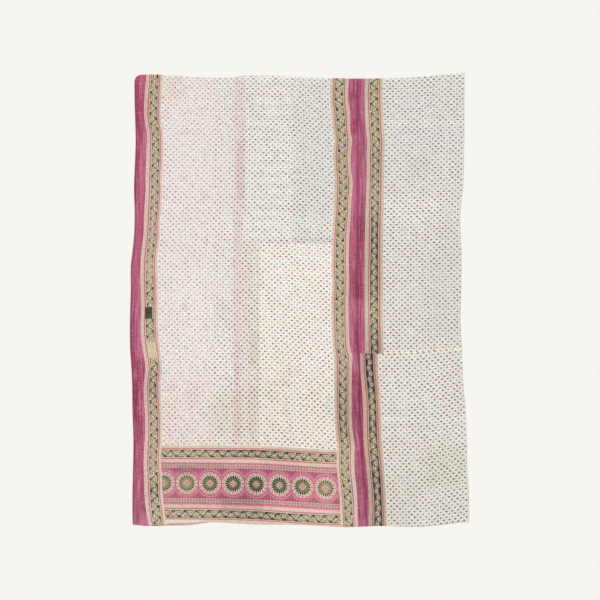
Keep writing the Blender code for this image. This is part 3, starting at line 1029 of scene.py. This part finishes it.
def printed_cotton(name, inks, last_row=0, foot_band=False):
    """The printed cloth of a panel: ground, field, borders and plain edge, then wear, painted shade along the
    stitch rows, weave and stitches.
    """
    cloth = Cloth(name, 0.86)
    ground, ink_left = cloth.read_colour("ground")
    rows, metres = cloth.read_map("stitch_rows")
    from_edge, along = cloth.read_map("border")
    from_edge = from_edge * MM_PER_METRE
    cloth_place = join(rows * (ROW_PITCH / MM), metres * MM_PER_METRE)
    cloth.colour = ground
    print_buds(cloth, cloth_place, ink_left, inks)
    if foot_band:
        foot_edge, foot_along = cloth.read_map("foot_border")
        foot_edge = foot_edge * MM_PER_METRE
        inside = from_edge.beyond(BORDER_WIDTH) * foot_edge.before(FOOT_BORDER_WIDTH)
        from_edge = mix(from_edge, foot_edge, inside)
        along = mix(along, foot_along, inside)
    border = from_edge.before(BORDER_WIDTH)
    if foot_band:
        border = border.largest(inside)
    cloth.lay(cloth.mixed(ground, border_stripes(cloth, from_edge), 1.0, "MULTIPLY"), border)
    print_flowers(cloth, from_edge, along, ink_left)
    edge = from_edge.step(-MAGENTA_BLUR, MAGENTA_BLUR, 1, 0)
    if foot_band:
        print_wheels(cloth, edge * inside, ink_left, ground)
        edge = edge * inside.less_from(1.0)
    dye_magenta(cloth, edge, rows, metres, last_row)

    uneven_dye(cloth, cloth_place)
    worn = cloth.mottle(cloth_place, 0.055, 4.0)
    cloth.tint(cloth.grey(worn.step(0.3, 0.7, 0.93, 1.04)))
    # Painted shade: the cloth is darkened in the valleys along the stitch rows, where the quilting dips
    from_row = abs(rows.repeat() * (ROW_PITCH / MM))
    cloth.tint(cloth.grey(from_row.step(0.0, 3.0, 0.93, 1.0)))
    dimple = stitch_shape(rows, metres, 0.0, DIMPLE).step(0.3, 1.2)
    cloth.dent(dimple + cloth.ribs(700, distortion=2.0) * 0.12, 0.4 * MM, 0.8)
    cloth.feed(worn.step(0.2, 0.8, 0.8, 0.95), cloth.shader["Roughness"])
    cloth.shader["Sheen Weight"].default_value = 0.08
    cloth.shader["Sheen Roughness"].default_value = 0.5
    return cloth.finish()


def pin_borders(piece, x, y, borders, ground):
    """The border map of a face: how far in from the nearest magenta, and how many roses along. The roses of
    a border with its field to the left are counted upwards, because its print is turned round. A border's
    wear goes into the ground's colours."""
    nearest, roses = np.full(len(x), 9.0), np.zeros(len(x))
    down = down_from_top(y)
    for lines, rose_counts, wear in borders:
        measure = from_magenta(lines, x, y)
        count = curve(rose_counts, "down", "count", down) * towards_field(lines)
        roses = np.where(measure < nearest, count, roses)
        tint = dyed_colours(wear, y)
        tint[:, 3] = curve(wear, "down", "ink", down)
        inside = measure < BORDER_WIDTH * MM
        ground[inside] = tint[inside]
        nearest = np.minimum(measure, nearest)
    pin_map(piece, "border", nearest, roses)
    return nearest


def count_rows(bud_rows, droops, x, y):
    """How many rows of buds there are down to each point."""
    head, foot = (curve(droops, "across", end, x / MM) for end in ("head", "foot"))
    down = down_from_top(y)
    towards_foot = np.clip((down - bud_rows[0].down) / DROOP_OVER, 0, 1)
    return curve(bud_rows, "down", "count", down - mix(head, foot, towards_foot))


left, seam, right = side_line("left"), side_line("seam"), side_line("right")
top, foot = cross_line(TOP_EDGE), cross_line(FOOT_EDGE)
MAIN_RIDGES = 91
# How many steps a face's mesh takes from ridge to ridge, and down the main face
STEPS_PER_RIDGE, MAIN_ROWS = 4, 260
# How much of the back's pink fold shows beyond the face's foot, in millimetres
Peep = namedtuple("Peep", "across out")
PEEP = table(Peep, (-700, 0), (-662, 0), (-645, 8), (-560, 9.5), (-500, 7), (-455, 2), (-435, 0))


def face_foot(x):
    """The foot of the main face, drawn up where the back's fold shows below it."""
    return foot(x) + curve(PEEP, "across", "out", x / MM) * MM


main_panel = Panel("main_face", left, seam, top, face_foot, ("right",), MAIN_RIDGES)
main_cotton = printed_cotton("main_printed_cotton", MAIN_INKS, MAIN_RIDGES, foot_band=True)
main_columns = STEPS_PER_RIDGE * MAIN_RIDGES
main_face, main_x, main_y = sew_face(main_panel, main_columns, MAIN_ROWS, 11, main_cotton)
main_across, main_down = main_x / MM, down_from_top(main_y)

main_ground = ground_colours(MAIN_PATCHES, main_x, main_y)
older_cloth(main_ground, main_x, main_y)
worn_edges(main_ground, main_panel, main_x, main_y)
main_borders = ((LEFT_BORDER, LEFT_ROSES, LEFT_WEAR), (SEAM_BORDER, SEAM_ROSES, SEAM_WEAR))
from_border = pin_borders(main_face, main_x, main_y, main_borders, main_ground)
field_left, field_right = (
    curve(border, "down", "field", main_down) for border in (LEFT_BORDER, SEAM_BORDER)
)
bud_count = (main_across - field_left) / (field_right - field_left) * BUDS_ACROSS - BUD_SHIFT
pin_map(main_face, "buds", bud_count, count_rows(MAIN_BUD_ROWS, MAIN_BUD_DROOP, main_x, main_y))

# The band at the foot: its upper border runs upwards from the wheels, and its lower one down from them
band_lines = [curve(BAND_LINES, "across", column, main_across) for column in BandLine._fields[1:]]
band_down = along_lines(main_down, band_lines, EVEN_BAND)
upper_half = band_down < WHEEL_MIDDLE
upper_edge = FLOWERS_TO - band_down
lower_edge = np.minimum(band_down - EVEN_BAND[2], LOWER_BORDER_WIDTH)
foot_edge = np.where(upper_half, upper_edge, lower_edge) * MM
upper_roses, lower_roses = (
    (main_across - roses.start) / roses.pitch + roses.first for roses in (UPPER_FOOT_ROSES, LOWER_FOOT_ROSES)
)
pin_map(main_face, "foot_border", foot_edge, np.where(upper_half, upper_roses, lower_roses))
pin_map(main_face, "wheels", (main_across - WHEELS_START) / WHEEL_PITCH, band_down)
in_band = (from_border > BORDER_WIDTH * MM) & (foot_edge < FOOT_BORDER_WIDTH * MM)
main_ground[in_band] = (*tone(*BAND_TINT)[:3], 1)
main_ground[in_band, 3] = curve(BAND_WORN, "across", "ink", main_across[in_band])
for shade in BAND_SHADES:
    share = soft_box(shade, main_across, main_down) * in_band
    main_ground[:, :3] *= mix(1, shade.light, share)[:, None]
bleached = near(main_across - BLEACHED_TO + BLEACHED_OVER, BLEACHED_OVER)
bleached = bleached * (foot_edge > BLEACHED_FROM * MM) * (in_band & ~upper_half)
main_ground[:, :3] *= mix(1, np.array(BLEACHED), bleached[:, None])
pin_colour(main_face, "ground", main_ground)
stained_edges = ((LEFT_STAINS, main_x - left(main_y)), (SEAM_STAINS, seam(main_y) - main_x))
pin_magenta(main_face, MAIN_MAGENTA, stained_edges, main_y)

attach(main_face, "root")
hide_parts("main_panel")


# ---- The side panels' faces -------------------------------------------------------------------------------
# Two shorter lengths of the same print, joined end to end by a cross seam and sewn to the main panel with
# their magenta edges against its own, so that one wide magenta band runs down the quilt.

CROSS_SEAM = table(Across, (285, 1374), (414, 1374), (551, 1369), (688, 1359), (796, 1350))
# The turned edge along the cross seam, painted a warmer white from some way across: painted light that lifts
# the shade of the seam's groove
CROSS_SEAM_PAINTED_LIGHT, CROSS_SEAM_WIDTH, CROSS_SEAM_FROM = (255, 247, 233), 8 * MM, 410 * MM
SIDE_RIDGES = 44
SIDE_BUD_PITCH = 28.4
# What a side panel's print is: the places of its lines, how many mesh rows it takes, the seed of its puckers,
# its inks and its stains
SidePrint = namedtuple(
    "SidePrint", "mesh_rows seed bud_shift inks border roses wear bud_rows droops patches magenta stains"
)
upper_print = SidePrint(
    mesh_rows=150,
    seed=22,
    bud_shift=0.25,
    inks=((182, 114, 122), (144, 68, 88), (138, 141, 82), (102, 117, 66)),
    border=table(
        Border,
        (29, 323, 349, 386, 409), (100, 319, 344, 385, 408), (277, 325, 352, 391, 414),
        (335, 332, 357, 395, 419), (394, 328, 354, 393, 417), (482, 330, 355, 391, 416),
        (659, 324, 350, 389, 414), (776, 321, 351, 385, 410), (1012, 319, 346, 384, 410),
        (1372, 322, 349, 387, 411),
    ),
    roses=table(
        Rose,
        (0, -2), (52, 0), (301, 10), (558, 20), (820, 30), (1081, 40), (1346, 50), (1399, 52),
    ),
    wear=table(
        Wear,
        (80, 235, 239, 232, 0.98), (190, 241, 246, 239, 0.84), (280, 240, 245, 238, 0.88),
        (380, 232, 235, 230, 1.04), (480, 234, 236, 229, 1.04), (570, 240, 245, 236, 0.84),
        (670, 239, 243, 237, 1.04), (770, 228, 231, 227, 1.22), (960, 227, 228, 220, 1.18),
        (1060, 230, 233, 226, 1.16), (1160, 243, 249, 240, 1.02), (1260, 234, 236, 229, 1.13),
        (1340, 220, 217, 213, 1.26),
    ),
    bud_rows=table(
        BudRow,
        (0, 13.42), (56, 15.65), (311, 25.82), (565, 35.63), (820, 45.42), (1075, 55.11), (1330, 64.68),
        (1390, 66.95),
    ),
    droops=table(
        Droop,
        (380, 0, 0), (502, 0, 0), (561, -1, -1), (620, -5, -3), (679, -9, -7), (737, -11, -9),
        (806, -13, -13),
    ),
    patches=table(
        Patch,
        (300, 850, 0, 1380, 5, 236, 236, 231, 1), (400, 850, 0, 215, 40, 233, 236, 233, 1),
        (400, 850, 236, 260, 12, 241, 243, 240, 1), (430, 850, 260, 400, 60, 233, 236, 235, 1),
        (520, 640, 400, 520, 50, 227, 231, 225, 1), (420, 700, 600, 740, 60, 242, 243, 241, 1),
        (680, 830, 740, 1000, 80, 231, 233, 227, 1), (600, 850, 900, 1290, 90, 230, 232, 225, 1),
    ),
    magenta=table(Dyed, (0, 172, 90, 117), (700, 178, 93, 121), (1374, 178, 90, 118)),
    stains=table(
        Stain,
        (-5, 13, 30, 260, 40, DEEP, 0.4), (16, 44, 120, 220, 50, FADED, 0.35),
        (8, 30, 220, 520, 60, DEEP, 0.28), (10, 40, 520, 620, 40, FADED, 0.35),
        (10, 44, 600, 830, 24, DEEP, 0.4), (1, 24, 700, 1108, 30, DEEP, 0.62),
        (20, 46, 730, 960, 30, DEEP, 0.35), (-5, 44, 1030, 1108, 8, DEEP, 0.28),
        (-5, 20, 1120, 1376, 30, DEEP, 0.45),
    ),
)
lower_print = SidePrint(
    mesh_rows=96,
    seed=29,
    bud_shift=-0.40,
    inks=((176, 112, 120), (134, 66, 86), (122, 124, 64), (98, 112, 62)),
    border=table(
        Border,
        (1382, 296, 322, 360, 384), (1457, 299, 325, 362, 385), (1604, 310, 338, 374, 395),
        (1810, 316, 343, 381, 403), (1957, 330, 355, 394, 415), (2104, 340, 367, 402, 423),
        (2210, 338, 367, 406, 426),
    ),
    roses=table(Rose, (1336, -1), (1391, 1), (1663, 11), (1939, 21), (2187, 30), (2242, 32)),
    wear=table(
        Wear,
        (1440, 219, 209, 200, 1.36), (1540, 223, 213, 201, 1.3), (1630, 232, 219, 211, 1.16),
        (1730, 228, 216, 208, 1.24), (1830, 228, 221, 208, 1.1), (1930, 221, 217, 205, 1.2),
        (2020, 213, 208, 202, 1.34), (2120, 218, 210, 203, 1.24),
    ),
    bud_rows=table(
        BudRow,
        (1340, 61.2), (1418, 63.84), (1712, 74.61), (2006, 85.29), (2104, 88.8), (2224, 93.1),
        (2270, 94.75),
    ),
    droops=table(
        Droop,
        (380, 0, 0), (502, -1, -1), (561, -4, -2), (620, -10, -5), (679, -17, -11), (737, -24, -20),
        (820, -36, -32),
    ),
    patches=table(
        Patch,
        (300, 850, 1340, 2230, 5, 236, 235, 229, 1), (420, 700, 1360, 1660, 80, 239, 240, 235, 1),
        (400, 850, 1688, 1704, 10, 243, 244, 241, 1), (420, 700, 1640, 1680, 20, 235, 237, 231, 1),
        (400, 850, 1752, 1766, 10, 241, 242, 237, 1), (600, 850, 1850, 2040, 90, 228, 229, 219, 1.1),
        (640, 850, 2070, 2230, 60, 231, 232, 228, 1), (400, 570, 1960, 2230, 90, 229, 228, 221, 1),
    ),
    magenta=table(Dyed, (1374, 160, 70, 100), (1800, 164, 78, 106), (2224, 168, 92, 116)),
    stains=table(
        Stain,
        (-5, 10, 1480, 1840, 40, DEEP, 0.3), (-5, 16, 1600, 1795, 30, DEEP, 0.45),
        (-5, 12, 1980, 2100, 40, DEEP, 0.3),
    ),
)

upper_cross = cross_line(CROSS_SEAM)
side_panels = [
    Panel("upper_side_face", seam, right, top, upper_cross, ("left", "foot"), SIDE_RIDGES),
    Panel("lower_side_face", seam, right, upper_cross, foot, ("left", "top"), SIDE_RIDGES),
]
for panel, printed in zip(side_panels, (upper_print, lower_print)):
    cotton = printed_cotton(panel.name + "_cotton", printed.inks)
    face, x, y = sew_face(panel, STEPS_PER_RIDGE * SIDE_RIDGES, printed.mesh_rows, printed.seed, cotton)
    ground = ground_colours(printed.patches, x, y)
    worn_edges(ground, panel, x, y)
    # Painted light: the ground is lightened to a warm white along the cross seam, against the shade of its
    # groove
    seam_light_share = near(np.abs(y - upper_cross(x)), CROSS_SEAM_WIDTH) * (x > CROSS_SEAM_FROM)
    shift_colour(ground, CROSS_SEAM_PAINTED_LIGHT, seam_light_share)
    pin_borders(face, x, y, ((printed.border, printed.roses, printed.wear),), ground)
    pin_colour(face, "ground", ground)
    field_line = curve(printed.border, "down", "field", down_from_top(y))
    bud_count = (x / MM - field_line) / SIDE_BUD_PITCH + printed.bud_shift
    pin_map(face, "buds", bud_count, count_rows(printed.bud_rows, printed.droops, x, y))
    pin_magenta(face, printed.magenta, ((printed.stains, x - seam(y)),), y)
    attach(face, "root")
    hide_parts(panel.name.replace("face", "panel"))


# ---- The back ---------------------------------------------------------------------------------------------
# The lowest layer of old cotton, in one sheet under all three faces and turned up against their edges.
# Only its fold shows, a dark pink line at the foot. Its own face is taken to be plain worn rose cotton.

BACK_COLUMNS, BACK_ROWS = 120, 160
BACK_HEIGHT, RIM_HEIGHT = 0.12 * MM, 0.9 * MM
BACK_TONE, BACK_WORN = tone(196, 150, 150), tone(214, 180, 174)
# The fold's pink, and where in y it ends, full and gone
FOLD_TONE, FOLD_FULL, FOLD_GONE = tone(196, 112, 134), -1.1085, -1.0945
# The stitches as they show on the back: half their width and length in millimetres
BACK_STITCH, BACK_STITCH_TONE = (0.5, 2.6), tone(236, 228, 214)

back_cotton = Cloth("worn_back_cotton", 0.9)
rows, metres = back_cotton.read_map("stitch_rows")
back_cotton.colour = BACK_TONE
back_cotton.lay(BACK_WORN, back_cotton.mottle(None, 16, 4.0).step(0.35, 0.65))
dash = stitch_shape(rows, metres, 0.5, BACK_STITCH)
back_cotton.lay(BACK_STITCH_TONE, dash.step(0.8, 1.1, 0.9, 0))
back_cotton.lay(FOLD_TONE, metres.step(FOLD_FULL, FOLD_GONE, 1, 0))
back_cotton.dent(abs(rows.repeat()) * 1.5 + dash.step(0.5, 1.4) * -0.5, 0.5 * MM)

whole = Panel("back_cloth", left, right, top, foot, (), MAIN_RIDGES + SIDE_RIDGES)
u, v = grid(np.linspace(0, 1, BACK_COLUMNS + 1), np.linspace(0, 1, BACK_ROWS + 1))
x, y = place(whole, u, v)
x, y = rounded_corner(x, y, left(y), top(x))
rim = (u == 0) | (u == 1) | (v == 0) | (v == 1)
back_points = np.stack((x, y, np.where(rim, RIM_HEIGHT, BACK_HEIGHT)), axis=1)
# Its faces are turned over, to look downwards
back_faces = [corners[::-1] for corners in grid_faces(BACK_COLUMNS + 1, BACK_ROWS + 1)]
back = make_piece("back_cloth", back_points, back_faces, back_cotton.finish())
pin_map(back, "stitch_rows", u * whole.ridges, y)
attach(back, "root")


# ---- The stitches -----------------------------------------------------------------------------------------
# Running stitches of soft white cotton thread, about 5 mm long with gaps as long, sewn by hand through all
# the layers. Each lies in the valley between two ridges with its ends drawn down into the cloth.

STITCH_LENGTH = (4.2 * MM, 5.8 * MM)
STITCH_WIDTH = 0.8 * MM
STITCH_RISE = 0.38 * MM
STITCH_WANDER = 0.35 * MM
# A stitch's corners: how far forward as a share of half its length, sideways of its width and up of its rise
STITCH_POINTS = (
    (-1.0, 0.0, -0.1), (-0.5, -0.5, 0.0), (-0.5, 0.0, 1.0), (-0.5, 0.5, 0.0),
    (0.5, -0.5, 0.0), (0.5, 0.0, 1.0), (0.5, 0.5, 0.0), (1.0, 0.0, -0.1),
)
STITCH_FACES = ((0, 1, 2), (0, 2, 3), (1, 4, 5, 2), (2, 5, 6, 3), (4, 7, 5), (5, 7, 6))
# How far a row's first stitch may start into its gap, and how unevenly all follow, as shares of the pitch
ROW_START, STITCH_SCATTER = 0.9, 0.06
# Where across the quilt a panel's length is measured for its count of stitches
MAIN_MIDDLE, SIDE_MIDDLE = 0.0, 0.5
THREAD_SHADE, THREAD_LIGHT, THREAD_PINK = tone(226, 214, 204), tone(244, 238, 230), tone(222, 190, 190)

thread = Cloth("cotton_thread", 0.75)
thread.colour = THREAD_SHADE
thread.lay(THREAD_LIGHT, thread.ribs(900))
thread.lay(THREAD_PINK, thread.mottle(None, 5).step(0.5, 0.7, 0, 0.5))
soft_thread = thread.finish()


def sew_stitches(name, panel, middle, seed):
    """The stitches of one panel, a row in each valley, as one mesh."""
    chance = np.random.default_rng(seed)
    drop = (panel.top(np.array([middle])) - panel.foot(np.array([middle])))[0]
    per_row = int(drop / STITCH_PITCH)
    row, place_in_row = grid(np.arange(1, panel.ridges), np.arange(per_row))
    start = chance.uniform(0, 1, panel.ridges + 1)[row]
    v = (place_in_row + start * ROW_START + chance.normal(0, STITCH_SCATTER, len(row))) / per_row
    v = np.clip(v, 0.003, 0.997)
    u = row / panel.ridges
    half = chance.uniform(*STITCH_LENGTH, len(row)) / 2
    x, y = place(panel, u, v)
    ahead = place(panel, u, np.clip(v + 0.002, 0, 1))
    along = np.stack((ahead[0] - x, ahead[1] - y), axis=1)
    along /= np.maximum(np.linalg.norm(along, axis=1), 1e-9)[:, None]
    x = x + chance.normal(0, STITCH_WANDER, len(row))
    lie = surface_height(panel, u, x, y, 0)
    across = np.stack((-along[:, 1], along[:, 0]), axis=1)
    points = np.empty((len(row), len(STITCH_POINTS), 3))
    for i, (forward, sideways, up) in enumerate(STITCH_POINTS):
        plan = along * (forward * half)[:, None] + across * (sideways * STITCH_WIDTH)
        points[:, i, 0] = x + plan[:, 0]
        points[:, i, 1] = y + plan[:, 1]
        points[:, i, 2] = lie + up * STITCH_RISE
    firsts = (np.arange(len(row)) * len(STITCH_POINTS)).tolist()
    faces = [tuple(corner + first for corner in face) for first in firsts for face in STITCH_FACES]
    piece = make_piece(name, points.reshape(-1, 3), faces, soft_thread)
    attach(piece, "root")
    return piece


main_stitches = sew_stitches("main_stitches", main_panel, MAIN_MIDDLE, 31)
side_stitches = [
    sew_stitches(panel.name.replace("face", "stitches"), panel, SIDE_MIDDLE, 40 + i)
    for i, panel in enumerate(side_panels)
]


# ---- The label --------------------------------------------------------------------------------------------
# A small folded strip of dark woven tape, sewn flat on the left border by its fold. Its under leaf is a
# little wider and shows a blue-grey edge. Nothing is written on it.

label_low, label_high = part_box("label")
LABEL_TOP_WIDTH = 34 * MM
LABEL_LIFT = 0.1 * MM
LABEL_LEAF_GAP = 0.45 * MM
LABEL_CURL = 0.5 * MM
FOLD_SHARPNESS = 60
LEAF_STEPS, LEAF_ROWS = 40, 28
# The tape's yarns, the paler end, the dark line across it, the ribs' shade and the under leaf's edge
YARN_DARK, YARN_LIGHT, END_TONE = tone(52, 42, 30), tone(100, 88, 66), tone(104, 96, 72)
LINE_TONE, RIB_TONE, UNDER_TONE = tone(40, 30, 22), tone(36, 28, 22), tone(152, 166, 176)

label_tape = Cloth("woven_label_tape", 0.7)
side_of, end_of = label_tape.read_map("leaf")
ribs = label_tape.ribs(400, "Y")
label_tape.colour = YARN_DARK
label_tape.lay(YARN_LIGHT, label_tape.mottle(None, 150, 3.0).step(0.35, 0.65))
label_tape.lay(END_TONE, end_of.step(0.60, 0.66, 0, 0.55))
label_tape.lay(LINE_TONE, abs(end_of - 0.76).step(0.02, 0.05, 0.4, 0))
label_tape.lay(RIB_TONE, ribs.step(0.2, 0.8, 0.3, 0))
label_tape.lay(UNDER_TONE, side_of.step(0.48, 0.5, 1, 0))
label_tape.dent(ribs, 0.2 * MM)

way, end = grid(np.linspace(0, 1, LEAF_STEPS + 1), np.linspace(0, 1, LEAF_ROWS + 1))
under_leaf = mix(label_high[0], label_low[0], way * 2)
top_leaf = label_low[0] + LABEL_TOP_WIDTH * (way * 2 - 1)
x = np.where(way < 0.5, under_leaf, top_leaf)
y = mix(label_high[1], label_low[1], end)
fold = 1 / (1 + np.exp(-(way - 0.5) * FOLD_SHARPNESS))
curl = LABEL_CURL * np.clip(way * 2 - 1.4, 0, 1) * (0.6 + 0.8 * np.abs(end - 0.5))
z = label_low[2] + LABEL_LIFT + LABEL_LEAF_GAP * fold + curl
label_faces = grid_faces(LEAF_STEPS + 1, LEAF_ROWS + 1)
label = make_piece("label_tape", np.stack((x, y, z), axis=1), label_faces, label_tape.finish())
pin_map(label, "leaf", way, end)
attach(label, "root")
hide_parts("label")
